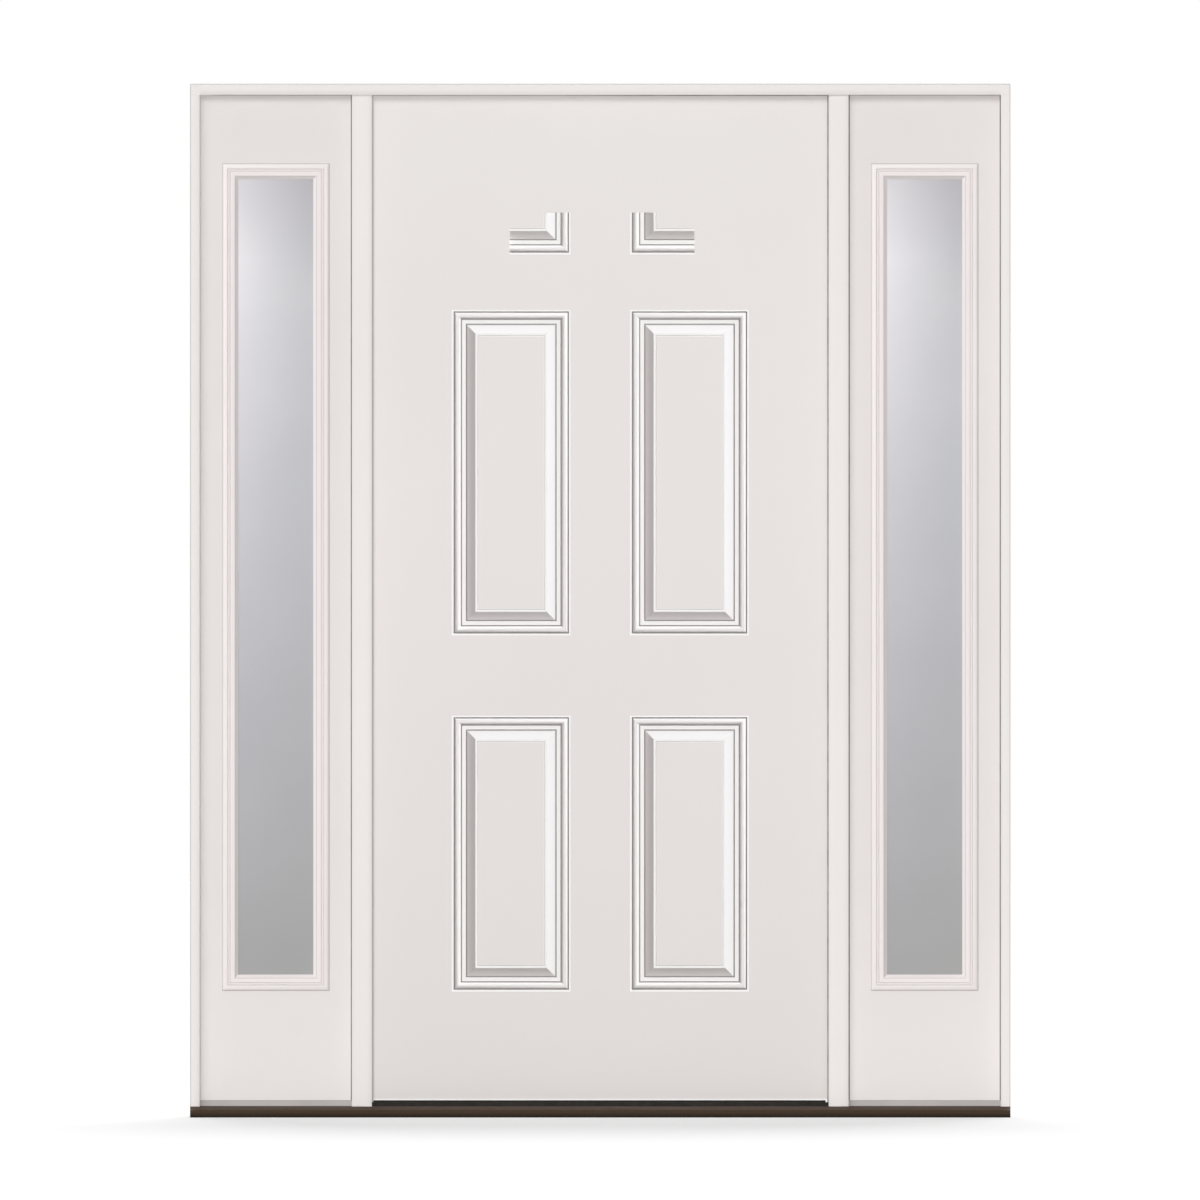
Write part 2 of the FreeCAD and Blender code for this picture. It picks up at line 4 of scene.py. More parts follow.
import bmesh
import bpy
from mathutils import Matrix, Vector

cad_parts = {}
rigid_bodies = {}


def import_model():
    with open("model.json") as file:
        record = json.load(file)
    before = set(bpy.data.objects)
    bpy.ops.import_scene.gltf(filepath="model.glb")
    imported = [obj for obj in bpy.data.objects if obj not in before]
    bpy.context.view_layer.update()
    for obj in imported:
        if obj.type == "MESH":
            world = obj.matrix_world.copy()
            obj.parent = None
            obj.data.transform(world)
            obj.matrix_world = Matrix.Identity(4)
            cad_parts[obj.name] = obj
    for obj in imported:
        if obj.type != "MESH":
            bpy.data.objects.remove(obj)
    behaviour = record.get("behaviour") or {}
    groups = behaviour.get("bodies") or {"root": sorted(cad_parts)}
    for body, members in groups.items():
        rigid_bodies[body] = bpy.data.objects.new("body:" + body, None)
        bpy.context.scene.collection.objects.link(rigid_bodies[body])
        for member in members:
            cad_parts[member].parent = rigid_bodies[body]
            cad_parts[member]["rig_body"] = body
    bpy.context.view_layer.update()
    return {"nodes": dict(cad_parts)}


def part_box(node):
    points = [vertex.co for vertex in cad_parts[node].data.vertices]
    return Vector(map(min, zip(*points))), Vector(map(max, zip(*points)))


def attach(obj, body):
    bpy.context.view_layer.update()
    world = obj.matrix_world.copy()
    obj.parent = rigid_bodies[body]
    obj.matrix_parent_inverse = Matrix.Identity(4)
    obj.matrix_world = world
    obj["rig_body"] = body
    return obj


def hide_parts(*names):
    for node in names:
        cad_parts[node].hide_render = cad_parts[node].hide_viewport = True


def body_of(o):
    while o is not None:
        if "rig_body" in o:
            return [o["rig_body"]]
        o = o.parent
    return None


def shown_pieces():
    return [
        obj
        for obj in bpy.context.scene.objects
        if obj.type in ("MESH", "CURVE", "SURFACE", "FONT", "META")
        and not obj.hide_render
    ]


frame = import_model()

# Entry door with two sidelights, in metres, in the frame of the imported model.
# X runs to the right as seen from outside, Y runs into the house, Z runs up.
MM = 0.001
OUTSIDE, INSIDE = -1, 1
SIDES = {"left": -1, "right": 1}
HINGES = ("bottom_hinge", "middle_hinge", "top_hinge")
TURN_LEFT, TURN_RIGHT = 1, -1
nodes = frame["nodes"]

# Panel moulding in millimetres: run inward from its outer edge, depth below the face, and a
# shade that is 1 for painted shade in the hollows and -1 for a painted highlight
OUTER_EDGE = (0.0, 0.0, 0.0)
QUIRK = (1.8, 4.6, 1.0)
BEAD_END = (15.5, 4.0)
BEAD_RADIUS = 7.4
BEAD_STEPS = 14
BEAD_HIGHLIGHT = 0.3
OUTER_FLANK_SHADE = 1.5
INNER_FLANK_SHADE = 0.9
FLANK_POWER = 3
GROOVE_AND_FILLET = ((16.3, 5.6, 0.85), (17.4, 4.6, 0.3), (18.4, 4.6, -0.6), (24.6, 4.6, -0.6))
BEVEL_FOOT = (25.8, 9.2, 0.95)
BEVEL_TOP = (44.2, 0.3)
BEVEL_RADIUS = 110.0
BEVEL_STEPS = 6
BEVEL_SHADE = 0.04
CREST_AND_FIELD = ((44.6, 0.3, -0.7), (48.2, 0.3, -0.7), (49.0, 1.0, 0.9), (49.8, 0.0, -0.9),
                   (51.0, 0.0, 0.0))
SKIN = 1.5
BACKING = ((-SKIN, SKIN, 0.0), (0.0, 10.7, 0.0), (27.3, 10.7, 0.0), (45.7, SKIN, 0.0))
# Width of the painted highlight band round each moulding
HIGHLIGHT_RUN = 3.0
END_WALL = 0.3
# Height of the hem at the leaf's foot, which carries the painted highlight
HEM_RISE = 3.2

# Panels on the leaf, in millimetres
PANEL_NEAR = 62.7
PANEL_FAR = 294.7
PANEL_ROWS = ((253.5, 801.0), (968.0, 1615.0))
CORNER_BOTTOM = 1732.0
CORNER_TOP = 1813.5
CORNER_END = {"left": 182.0, "right": 189.0}

# Glazing insert in millimetres: run inward from its outer edge, rise above the skin, and shade: painted
# shade where positive, a painted highlight where negative
INSERT_EDGE = (0.0, 4.0, 0.9)
INSERT_BEAD_END = (11.0, 7.0)
INSERT_BEAD_RADIUS = 16.0
INSERT_BEAD_STEPS = 10
INSERT_BEAD_SHADE = 0.6
INSERT_BEAD_FADE = 0.3
INSERT_FACE = ((11.9, 4.8, 0.5), (13.2, 5.7, 0.0), (15.0, 5.7, 0.0), (16.2, 4.8, 0.5),
               (17.2, 6.2, 0.0), (24.8, 6.2, 0.0), (25.6, 6.0, 0.8), (26.6, 5.1, 0.0),
               (32.5, -0.8, -0.2))
INSERT_BACK = ((32.5, -9.55, 0.0), (28.0, -9.55, 0.0), (22.0, 0.0, 0.0), (0.0, 0.0, 1.0))

# Small hardware, in metres; rings are radius and rise, as shares of the button's radius
HINGE_GAP = 5 * MM
HINGE_NOTCH = 2.5 * MM
JAMB_SIDE, DOOR_SIDE = -1, 1
BUTTON_STEPS = 32
SCREW_RADIUS = 4.2 * MM
SCREW_PLACES = ((16 * MM, 11 * MM), (50.8 * MM, 23 * MM), (85.6 * MM, 11 * MM))
SCREW_RINGS = ((1.0, -0.10), (1.0, 0.02), (0.92, 0.09), (0.72, 0.13),
               (0.56, 0.14), (0.50, -0.06), (0.20, -0.10))
CROSS_RINGS = (4, 5)
CROSS_WAIST = 0.38
CROSS_POWER = 6
PLUG_RADIUS = 3.4 * MM
PLUG_RUN = 21.4 * MM
PLUG_RISE = 6.2 * MM
PLUG_ROWS = 7
PLUG_RINGS = ((1.0, -0.15), (1.0, 0.08), (0.94, 0.16), (0.80, 0.20), (0.40, 0.24), (0.1, 0.25))
SEALANT_SIZE = 2.2 * MM
SEALANT_RADIUS = 1.2 * SEALANT_SIZE
SEALANT_STEPS = 5

# Edges and shading
SHARP_ANGLE = math.radians(24)
EASE_ANGLE = math.radians(40)
EASE_SEGMENTS = 2
EASE = 0.6 * MM
SILL_EASE = 0.5 * MM
SMALL_EASE = 0.4 * MM
THIN_EASE = 0.3 * MM
NO_EASE = 0.0
WELD_REACH = 0.01 * MM
SHADE = "shade"


# Shapes
def arc(start, end, radius, turn, steps):
    """Give the points after start on the short arc to end, turning left or right."""
    start, end = Vector(start), Vector(end)
    chord = end - start
    reach = math.sqrt(radius ** 2 - (chord.length / 2) ** 2)
    centre = (start + end) / 2 + Vector((-chord.y, chord.x)).normalized() * reach * turn
    first = start - centre
    sweep = turn * 2 * math.asin(chord.length / 2 / radius)
    points = []
    for step in range(1, steps + 1):
        angle = sweep * step / steps
        cos, sin = math.cos(angle), math.sin(angle)
        points.append((centre.x + first.x * cos - first.y * sin,
                       centre.y + first.x * sin + first.y * cos))
    return points


def panel_section():
    """Give the moulding's section as run, depth and shade."""
    points = [OUTER_EDGE, QUIRK]
    bead = arc(QUIRK[:2], BEAD_END, BEAD_RADIUS, TURN_LEFT, BEAD_STEPS)
    # The bead's flanks get painted shade, most on the outer flank, and its crown a painted highlight
    for step, point in enumerate(bead, start=1):
        across = 2 * step / BEAD_STEPS - 1
        hollow_shade = OUTER_FLANK_SHADE if across < 0 else INNER_FLANK_SHADE
        points.append((*point, hollow_shade * abs(across) ** FLANK_POWER - BEAD_HIGHLIGHT))
    points += [*GROOVE_AND_FILLET, BEVEL_FOOT]
    for point in arc(BEVEL_FOOT[:2], BEVEL_TOP, BEVEL_RADIUS, TURN_RIGHT, BEVEL_STEPS):
        points.append((*point, BEVEL_SHADE))
    return points + [*CREST_AND_FIELD]


def insert_section():
    """Give the glazing insert's closed section as run, rise and shade."""
    points = [INSERT_EDGE]
    bead = arc(INSERT_EDGE[:2], INSERT_BEAD_END, INSERT_BEAD_RADIUS, TURN_RIGHT, INSERT_BEAD_STEPS)
    # The bead's outer edge gets painted shade, fading over its first steps
    for step, point in enumerate(bead):
        points.append((*point, max(INSERT_BEAD_SHADE - INSERT_BEAD_FADE * step, 0.0)))
    return points + [*INSERT_FACE, *INSERT_BACK]


def offset_path(path, closed, run):
    """Move a path to its left by run, with mitred corners."""
    moved = []
    count = len(path)
    for index, (x, z) in enumerate(path):
        shift = Vector((0, 0))
        for start in (index - 1, index):
            if not closed and not 0 <= start < count - 1:
                continue
            (x0, z0), (x1, z1) = path[start % count], path[(start + 1) % count]
            along = Vector((x1 - x0, z1 - z0)).normalized()
            shift += Vector((-along.y, along.x))
        moved.append((x + shift.x * run, z + shift.y * run))
    return moved


def rectangle(left, right, bottom, top):
    """Give a rectangle's corners, with its inside to the left of the path."""
    return [(left, bottom), (right, bottom), (right, top), (left, top)]


def panel_paths():
    """Give each moulding's path, with its panel to the left, and whether it is closed."""
    for bottom, top in PANEL_ROWS:
        yield rectangle(PANEL_NEAR, PANEL_FAR, bottom, top), True
        yield rectangle(-PANEL_FAR, -PANEL_NEAR, bottom, top), True
    yield [(PANEL_NEAR, CORNER_TOP), (PANEL_NEAR, CORNER_BOTTOM),
           (CORNER_END["right"], CORNER_BOTTOM)], False
    yield [(-CORNER_END["left"], CORNER_BOTTOM), (-PANEL_NEAR, CORNER_BOTTOM),
           (-PANEL_NEAR, CORNER_TOP)], False


def shortened(path, cut):
    """Take the same length off both ends of an open path with one corner."""
    (x0, z0), (x1, z1), (x2, z2) = path
    first = Vector((x1 - x0, z1 - z0)).normalized() * cut
    last = Vector((x1 - x2, z1 - z2)).normalized() * cut
    return [(x0 + first.x, z0 + first.y), (x1, z1), (x2 + last.x, z2 + last.y)]


def join_loops(mesh, loops, closed, material=0):
    """Fill between loops of points that follow one path."""
    for first, second in zip(loops, loops[1:]):
        count = len(first)
        for index in range(count if closed else count - 1):
            after = (index + 1) % count
            face = mesh.faces.new((first[index], first[after], second[after], second[index]))
            face.material_index = material


def loop_edges(mesh, loop):
    """Give the edges round a loop of points, new where there are none."""
    pairs = zip(loop, loop[1:] + loop[:1])
    return [mesh.edges.get(pair) or mesh.edges.new(pair) for pair in pairs]


def finish_mesh(mesh, name):
    """Turn a closed mesh into an object with smooth faces and sharp creases."""
    bmesh.ops.recalc_face_normals(mesh, faces=mesh.faces)
    for face in mesh.faces:
        face.smooth = True
    for edge in mesh.edges:
        edge.smooth = edge.is_manifold and edge.calc_face_angle(0) < SHARP_ANGLE
    data = bpy.data.meshes.new(name)
    mesh.to_mesh(data)
    mesh.free()
    piece = bpy.data.objects.new(name, data)
    bpy.context.scene.collection.objects.link(piece)
    return piece


def install(piece, body, slot, *finishes, replaced=()):
    """Give a piece its finishes and its body, and hide the imported nodes it replaces."""
    for finish in finishes:
        piece.data.materials.append(finish)
    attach(piece, body)
    if replaced:
        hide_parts(*replaced)


def pressed_sheet(mesh, point, outline, section, flat, end_wall=0.0, highlight_run=0.0):
    """Make one side of a skin: a flat sheet with the mouldings pressed into it.

    With a highlight run, the hem along the foot and a band of that width round each moulding get the
    second finish, a painted highlight.
    With an end wall, the open mouldings stop short by its thickness.
    """
    shade_of = mesh.verts.layers.float.get(SHADE) or mesh.verts.layers.float.new(SHADE)
    border = [mesh.verts.new(point(x, z, flat)) for x, z in outline]
    edges = loop_edges(mesh, border)
    if highlight_run:
        # The hem along the foot is a face of its own, with the painted highlight
        hem = mesh.faces.new([border[index] for index in (0, 1, 2, -1)])
        hem.material_index = 1
        edges = loop_edges(mesh, border[2:])
    for path, closed in panel_paths():
        if end_wall and not closed:
            path = shortened(path, end_wall)
        loops = []
        for run, depth, shade in section:
            loop = [mesh.verts.new(point(x, z, depth)) for x, z in offset_path(path, closed, run)]
            for vertex in loop:
                vertex[shade_of] = shade
            loops.append(loop)
        join_loops(mesh, loops, closed)
        outer = loops[0]
        # A band round the moulding gets the painted highlight
        if highlight_run:
            outer = [mesh.verts.new(point(x, z, flat)) for x, z in offset_path(path, closed, -highlight_run)]
            join_loops(mesh, [outer, loops[0]], closed, material=1)
        if closed:
            mesh.faces.new(loops[-1])
        else:
            for index in (0, -1):
                mesh.faces.new([loop[index] for loop in loops])
            if highlight_run:
                outer = [loops[0][0], *outer, loops[0][-1]]
            outer = outer + loops[-1][::-1]
        edges += loop_edges(mesh, outer)
    bmesh.ops.triangle_fill(mesh, edges=edges, use_beauty=True)
    return border


def door_skin(node, facing, notches=()):
    """Make a leaf skin with its pressed mouldings and its notches for the hinges."""
    low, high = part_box(node)
    face = low.y if facing == OUTSIDE else high.y
    left, right = low.x / MM, high.x / MM
    bottom, top = low.z / MM, high.z / MM

    def point(x, z, depth):
        return (x * MM, face - facing * depth * MM, z * MM)

    outline = [(left, bottom), (right, bottom), (right, bottom + HEM_RISE), (right, top), (left, top)]
    for start, end, inset in notches:
        inner = left + inset
        outline += [(left, end), (inner, end), (inner, start), (left, start)]
    outline.append((left, bottom + HEM_RISE))
    mesh = bmesh.new()
    front = pressed_sheet(mesh, point, outline, panel_section(), 0.0, END_WALL, HIGHLIGHT_RUN)
    back = pressed_sheet(mesh, point, outline, BACKING, SKIN)
    join_loops(mesh, [front, back], True)
    return finish_mesh(mesh, f"{node}_pressed")


def lite_insert(node, facing):
    """Make a glazing insert as one closed ring with mitred corners."""
    low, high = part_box(node)
    crown = INSERT_BEAD_END[1] * MM
    face = low.y + crown if facing == OUTSIDE else high.y - crown
    path = rectangle(low.x / MM, high.x / MM, low.z / MM, high.z / MM)
    mesh = bmesh.new()
    shade_of = mesh.verts.layers.float.new(SHADE)
    loops = []
    for run, rise, shade in insert_section():
        loop = [mesh.verts.new((x * MM, face + facing * rise * MM, z * MM))
                for x, z in offset_path(path, True, run)]
        for vertex in loop:
            vertex[shade_of] = shade
        loops.append(loop)
    join_loops(mesh, [*loops, loops[0]], True)
    return finish_mesh(mesh, f"{node}_moulded")


def button(mesh, rings, size, place_of, crossed=()):
    """Turn rings into a closed round button; the crossed rings are pinched to a cross."""
    loops = []
    for index, (radius, rise) in enumerate(rings):
        loop = []
        for step in range(BUTTON_STEPS):
            angle = 2 * math.pi * step / BUTTON_STEPS
            reach = radius * size
            if index in crossed:
                reach *= CROSS_WAIST + (1 - CROSS_WAIST) * abs(math.cos(2 * angle)) ** CROSS_POWER
            loop.append(mesh.verts.new(place_of(reach * math.cos(angle), reach * math.sin(angle),
                                                rise * size)))
        loops.append(loop)
    join_loops(mesh, loops, True)
    mesh.faces.new(loops[0])
    mesh.faces.new(loops[-1])


def hinge_screws(node, facing):
    """Make the three screw heads of a hinge leaf, with cross recesses."""
    low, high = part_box(node)
    face = (low.x + high.x) / 2 + facing * HINGE_GAP / 2
    mesh = bmesh.new()
    for up, across in SCREW_PLACES:
        def place_of(u, v, rise):
            return (face - facing * rise, low.y + across + u, low.z + up + v)
        button(mesh, SCREW_RINGS, SCREW_RADIUS, place_of, CROSS_RINGS)
    return finish_mesh(mesh, node.replace("leaf", "screws"))


def insert_plugs(node):
    """Make the caps that close the screw holes of an inner glazing insert."""
    low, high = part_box(node)
    face = high.y - INSERT_BEAD_END[1] * MM + PLUG_RISE
    left, right = low.x + PLUG_RUN, high.x - PLUG_RUN
    bottom, top = low.z + PLUG_RUN, high.z - PLUG_RUN
    places = [((left + right) / 2, bottom), ((left + right) / 2, top)]
    for row in range(PLUG_ROWS):
        up = bottom + (top - bottom) * (row + 0.5) / PLUG_ROWS
        places += [(left, up), (right, up)]
    mesh = bmesh.new()
    for x, z in places:
        def place_of(u, v, rise):
            return (x + u, face + rise, z + v)
        button(mesh, PLUG_RINGS, PLUG_RADIUS, place_of)
    return finish_mesh(mesh, node.replace("lite_frame", "screw_caps"))


def sealant_bead(name, side):
    """Make the bead along the joint of a sidelight with its jamb, mullion and head."""
    mullion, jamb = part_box(f"{name}_mullion"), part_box(f"{name}_jamb")
    skin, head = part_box(f"{name}_sidelight_outer_skin"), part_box("head_jamb")
    if side == SIDES["left"]:
        left, right = jamb[1].x, mullion[0].x
    else:
        left, right = mullion[1].x, jamb[0].x
    path = [(right, skin[0].z), (right, head[0].z), (left, head[0].z), (left, skin[0].z)]
    section = [(0.0, 0.0), (0.0, SEALANT_SIZE)]
    section += arc((0.0, SEALANT_SIZE), (SEALANT_SIZE, 0.0), SEALANT_RADIUS, TURN_LEFT, SEALANT_STEPS)
    mesh = bmesh.new()
    loops = [[mesh.verts.new((x, skin[0].y - rise, z)) for x, z in offset_path(path, False, run)]
             for run, rise in section]
    join_loops(mesh, [*loops, loops[0]], False)
    for index in (0, -1):
        mesh.faces.new([loop[index] for loop in loops])
    return finish_mesh(mesh, f"{name}_sidelight_bead")


# Finishes
EVEN = (1, 1, 1)
ALONG_X = (0.03, 1, 1)
ALONG_Z = (1, 1, 0.03)
WHITE = (1, 1, 1, 1)
SPECULAR = "Specular IOR Level"
MIX_FACTOR, MIX_FIRST, MIX_SECOND, MIX_RESULT = 0, 6, 7, 2


def colour(code):
    """Give the linear colour of a six-digit code."""
    parts = [int(code[index:index + 2], 16) / 255 for index in (0, 2, 4)]
    return tuple(part / 12.92 if part <= 0.04045 else ((part + 0.055) / 1.055) ** 2.4
                 for part in parts) + (1.0,)


def scaled(code, factor):
    """Give a code's colour, darker or lighter."""
    return tuple(part * factor for part in colour(code)[:3]) + (1.0,)


class Finish:
    """One procedural material: its shader, its node tree and its place in metres."""

    def __init__(self, name, fixed):
        self.material = bpy.data.materials.new(name)
        self.material.use_nodes = True
        self.tree = self.material.node_tree
        self.shader = self.tree.nodes["Principled BSDF"]
        self.place = self.tree.nodes.new("ShaderNodeTexCoord").outputs["Object"]
        for socket, value in fixed.items():
            self.shader.inputs[socket].default_value = value

    def feed(self, socket, value):
        """Link a socket, or set it to a number or to a code's colour."""
        if isinstance(value, bpy.types.NodeSocket):
            self.tree.links.new(value, socket)
        else:
            socket.default_value = colour(value) if isinstance(value, str) else value

    def node(self, kind, inputs=(), **settings):
        """Add a node with settings and linked or fixed inputs."""
        made = self.tree.nodes.new(kind)
        for name, value in settings.items():
            setattr(made, name, value)
        for socket, value in dict(inputs).items():
            self.feed(made.inputs[socket], value)
        return made

    def drive(self, socket, value):
        """Link a varying value to the shader."""
        self.tree.links.new(value, self.shader.inputs[socket])

    def noise(self, scale, detail, stretch=EVEN):
        """Give a noise, stretched along an axis by a small factor there."""
        place = self.node("ShaderNodeMapping", {"Vector": self.place, "Scale": stretch})
        made = self.node("ShaderNodeTexNoise", {"Vector": place.outputs[0], "Scale": scale,
                                                "Detail": detail})
        return made.outputs[0]

    def spread(self, value, low, high, start=0.3, end=0.7):
        """Map a value from start to end onto low to high."""
        made = self.node("ShaderNodeMapRange", {"Value": value, "From Min": start, "From Max": end,
                                                "To Min": low, "To Max": high})
        return made.outputs[0]

    def cloud(self, scale, detail, stretch=EVEN):
        """Give a noise that fills 0 to 1."""
        return self.spread(self.noise(scale, detail, stretch), 0.0, 1.0)

    def combine(self, operation, first, second=0.0):
        """Give a sum, product or other result of two values."""
        return self.node("ShaderNodeMath", {0: first, 1: second}, operation=operation).outputs[0]

    def blend(self, factor, first, second, kind="MIX"):
        """Mix two colours."""
        made = self.node("ShaderNodeMix", data_type="RGBA", blend_type=kind)
        for index, value in ((MIX_FACTOR, factor), (MIX_FIRST, first), (MIX_SECOND, second)):
            self.feed(made.inputs[index], value)
        return made.outputs[MIX_RESULT]

    def veiled(self, tone, factor, thin, thick):
        """Multiply a tone by a veil between two colours."""
        return self.blend(1.0, tone, self.blend(factor, thin, thick), "MULTIPLY")

    def mottled(self, factor, tone, darkest, lightest):
        """Vary a code's colour between two shares of it."""
        return self.blend(factor, scaled(tone, darkest), scaled(tone, lightest))

    def axis(self, name):
        """Give one coordinate of the place."""
        return self.node("ShaderNodeSeparateXYZ", {"Vector": self.place}).outputs[name]

    def ramp(self, value, stops):
        """Give the colour at a value between stops."""
        made = self.node("ShaderNodeValToRGB", {"Fac": value})
        elements = made.color_ramp.elements
        while len(elements) < len(stops):
            elements.new(0.5)
        for element, (position, code) in zip(elements, stops):
            element.position = position
            element.color = colour(code)
        return made.outputs[0]

    def roughen(self, low, high, scale, detail=3.0, stretch=EVEN):
        """Let the roughness wander between two values."""
        self.drive("Roughness", self.spread(self.noise(scale, detail, stretch), low, high))

    def bump(self, height, strength, depth):
        """Lay a height over the shader's normal."""
        made = self.node("ShaderNodeBump", {"Height": height, "Strength": strength,
                                            "Distance": depth})
        under = self.shader.inputs["Normal"]
        if under.is_linked:
            self.tree.links.new(under.links[0].from_socket, made.inputs["Normal"])
        self.drive("Normal", made.outputs[0])


# A dark tone for painted shade, also used for dust on top faces and for the arris line; a light tone for
# painted highlights
SHADE_AND_DUST_TONE = "594f4b"
HIGHLIGHT_TONE = "fbfaf9"
PAINT_GLOSS = 0.4
PAINT_VEIL = ((0.985, 0.983, 0.983, 1), (1.01, 1.01, 1.01, 1))
PAINT_ROUGHNESS = (0.40, 0.50)
PAINT_RELIEF = 0.4 * MM
PEEL_STRENGTH = 0.10
GRAIN_STRENGTH = 0.14
LEAF_SPAN = (0.03, 2.05)

# Slopes are parts of the normal: slopes to the right and up, which face the key light, get a painted
# highlight tint, and slopes to the left get painted shade
LIT_SLOPE_TINT = (0.975, 1.01, 1.035, 1)
LIT_SLOPE_RANGE = (0.1, 0.35)
LEE_SHADE = 0.12
LEE_SLOPES = (-0.4, -0.1)

# The frame's upward faces are darker and dull, with dust and with painted shade against the light from
# behind; a darker line runs along the unit's outer upright arrises
TOP_SHADE_AND_DUST = 0.6
TOP_DARKENING_SLOPES = (0.93, 0.99)
TOP_DULLNESS = 0.45
TOP_DULL_SLOPES = (0.6, 0.9)
TOP_SMOOTH_SLOPES = (0.02, 0.3)
ARRIS_DARKENING = 0.36
ARRIS_SPAN = (0.8200, 0.8212)


def tint_slopes_for_light(finish, tinted):
    """Tint the slopes that face the light cooler, as a painted highlight, and paint shade on those that
    face left.
    """
    normal = finish.node("ShaderNodeTexCoord").outputs["Normal"]
    slope = finish.node("ShaderNodeSeparateXYZ", {"Vector": normal}).outputs
    lit = finish.combine("MAXIMUM", slope["X"], slope["Z"])
    tinted = finish.veiled(tinted, finish.spread(lit, 0.0, 1.0, *LIT_SLOPE_RANGE), WHITE, LIT_SLOPE_TINT)
    return finish.blend(finish.spread(slope["X"], LEE_SHADE, 0.0, *LEE_SLOPES), tinted, SHADE_AND_DUST_TONE)


def shade_hollows(finish, tinted, hollow_shade):
    """Paint shade in a moulding's hollows and a highlight on its edges, by the mesh's shade."""
    hollow = finish.node("ShaderNodeAttribute", attribute_name=SHADE).outputs["Fac"]
    tinted = finish.blend(finish.spread(hollow, 1.0, 0.0, -1.0, 0.0), tinted, HIGHLIGHT_TONE)
    return finish.blend(finish.spread(hollow, 0.0, hollow_shade, 0.0, 1.0), tinted, SHADE_AND_DUST_TONE)


def darken_tops_and_arrises(finish, tinted, facing):
    """Darken upward faces, with dust and painted shade, and draw a darker line along the unit's outer
    arrises.
    """
    tinted = finish.blend(finish.spread(facing["Z"], 0.0, TOP_SHADE_AND_DUST, *TOP_DARKENING_SLOPES), tinted, SHADE_AND_DUST_TONE)
    across = finish.combine("ABSOLUTE", finish.axis("X"))
    arris = finish.combine("MULTIPLY", finish.spread(across, 0.0, ARRIS_DARKENING, *ARRIS_SPAN),
                           finish.combine("ABSOLUTE", facing["Y"]))
    return finish.blend(arris, tinted, SHADE_AND_DUST_TONE)


def painted(name, tone, grain=None, hollow_shade=0.0, slope_light=False):
    """Satin paint in one tone, or in stops up the leaf, with orange peel or wood grain."""
    finish = Finish(name, {SPECULAR: PAINT_GLOSS})
    # Tones in stops up the leaf: painted shade on the door, darker to its foot, and painted light on the
    # sidelights, lighter at their foot
    if not isinstance(tone, str):
        tone = finish.ramp(finish.spread(finish.axis("Z"), 0.0, 1.0, *LEAF_SPAN), tone)
    tinted = finish.veiled(tone, finish.cloud(scale=1.7, detail=3.0), *PAINT_VEIL)
    roughness = finish.spread(finish.noise(scale=45, detail=3.0), *PAINT_ROUGHNESS)
    # Painted highlight tint on slopes facing the light, painted shade on slopes facing left
    if slope_light:
        tinted = tint_slopes_for_light(finish, tinted)
    # Painted shade in the hollows and painted highlights on the edges, from the mesh's shade
    if hollow_shade:
        tinted = shade_hollows(finish, tinted, hollow_shade)
    # Frame paint: upward faces darker, with dust and painted shade, and a darker line along the outer
    # arrises
    if grain:
        normal = finish.node("ShaderNodeNewGeometry").outputs["Normal"]
        facing = finish.node("ShaderNodeSeparateXYZ", {"Vector": normal}).outputs
        tinted = darken_tops_and_arrises(finish, tinted, facing)
        dullness = finish.spread(facing["Z"], 0.0, TOP_DULLNESS, *TOP_DULL_SLOPES)
        roughness = finish.combine("ADD", roughness, dullness)
        strength = finish.spread(facing["Z"], GRAIN_STRENGTH, 0.0, *TOP_SMOOTH_SLOPES)
        finish.bump(finish.noise(scale=260, detail=4.0, stretch=grain), strength, PAINT_RELIEF)
    else:
        finish.bump(finish.noise(scale=420, detail=2.0), PEEL_STRENGTH, PAINT_RELIEF)
    finish.drive("Base Color", tinted)
    finish.drive("Roughness", roughness)
    return finish.material


# Panes: their height, the step from one pane to the other, and a pane's left edge and width
GLASS_SPAN = (0.285, 1.880)
GLASS_PITCH = 1.301
GLASS_LEFT = 0.726
GLASS_WIDTH = 0.1505
# Painted reflection by height, at each pane's left edge and at its right edge
GLASS_LEFT_REFLECTION = ((0.0, "a7a6a6"), (0.3, "bababe"), (0.6, "d0cfd3"), (0.9, "edebee"),
                    (1.0, "dedcdf"))
GLASS_RIGHT_REFLECTION = ((0.0, "a3a3a2"), (0.3, "b2b2b5"), (0.6, "c0c1c5"), (0.85, "c8c9cc"),
                     (1.0, "b6b4b8"))
GLASS_VEIL = ((0.945, 0.945, 0.955, 1), (0.995, 0.99, 0.995, 1))


def satin_glass():
    """Etched glass with a painted reflection, paler towards its upper left, and a fine tooth."""
    finish = Finish("satin_glass", {"Transmission Weight": 0.15, "IOR": 1.5})
    height = finish.spread(finish.axis("Z"), 0.0, 1.0, *GLASS_SPAN)
    run = finish.combine("FLOORED_MODULO", finish.combine("ADD", finish.axis("X"), GLASS_LEFT),
                         GLASS_PITCH)
    across = finish.spread(run, 0.0, 1.0, 0.0, GLASS_WIDTH)
    tone = finish.blend(across, finish.ramp(height, GLASS_LEFT_REFLECTION),
                        finish.ramp(height, GLASS_RIGHT_REFLECTION))
    finish.drive("Base Color", finish.veiled(tone, finish.cloud(scale=5.0, detail=3.0), *GLASS_VEIL))
    finish.roughen(low=0.34, high=0.46, scale=90)
    finish.bump(finish.noise(scale=1600, detail=2.0), strength=0.12, depth=0.1 * MM)
    return finish.material


SILL_SPAN = (0.0, 0.021)
